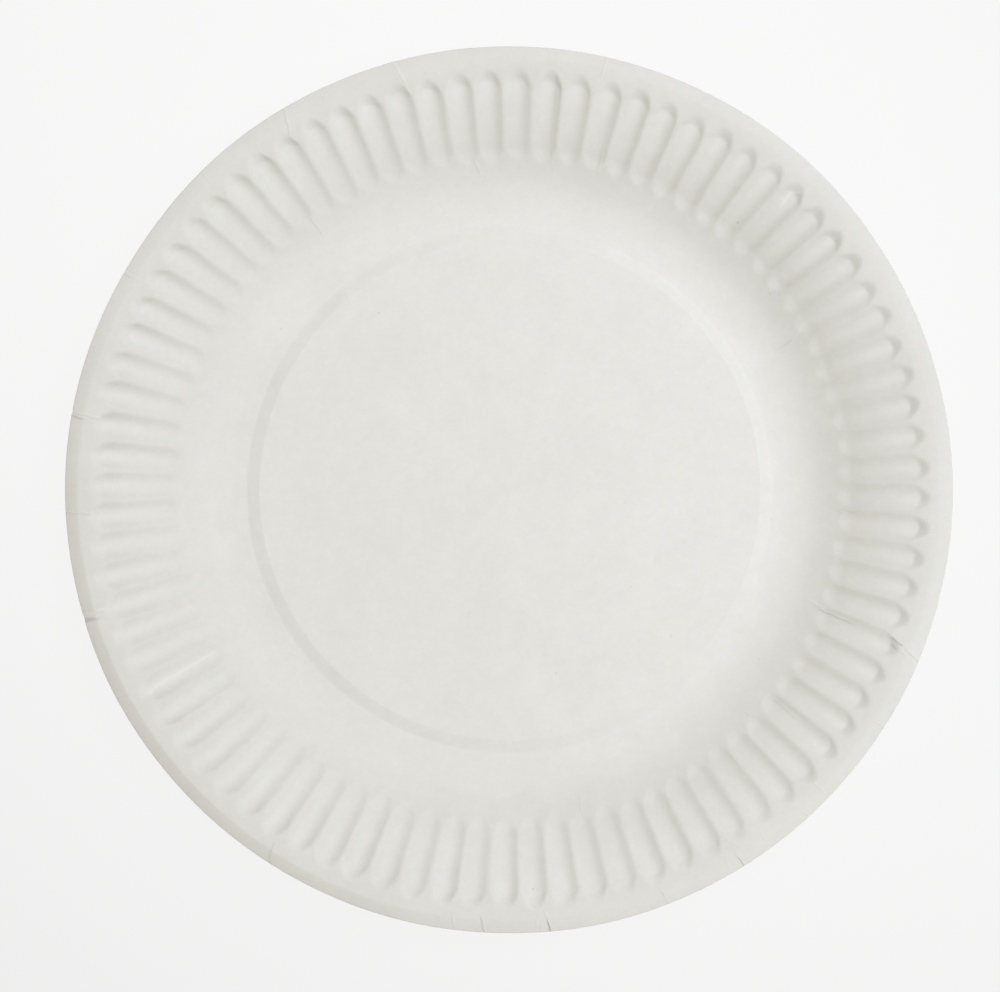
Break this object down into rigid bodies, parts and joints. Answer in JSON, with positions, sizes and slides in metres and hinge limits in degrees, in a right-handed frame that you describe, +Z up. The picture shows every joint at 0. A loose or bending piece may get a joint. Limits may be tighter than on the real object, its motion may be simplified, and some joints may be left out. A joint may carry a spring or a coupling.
{
  "type": "paper plate",
  "caption": "Round shallow plate pressed from one sheet of paperboard: raised flat centre, stepped ring, curved wall with radial flutes and a turned-down lip.",
  "frame": {"origin": "on the table under the plate's centre, in the plane of the foot", "axes": "+Z up along the plate's axis, out of the well; +X and +Y lie in the table"},
  "size_m": [0.23, 0.23, 0.0165],
  "materials": {
    "board": "uncoated white paperboard, matt, with fine fibre mottling"
  },
  "bodies": {
    "root": {"paper_plate": "board"}
  },
  "joints": []
}
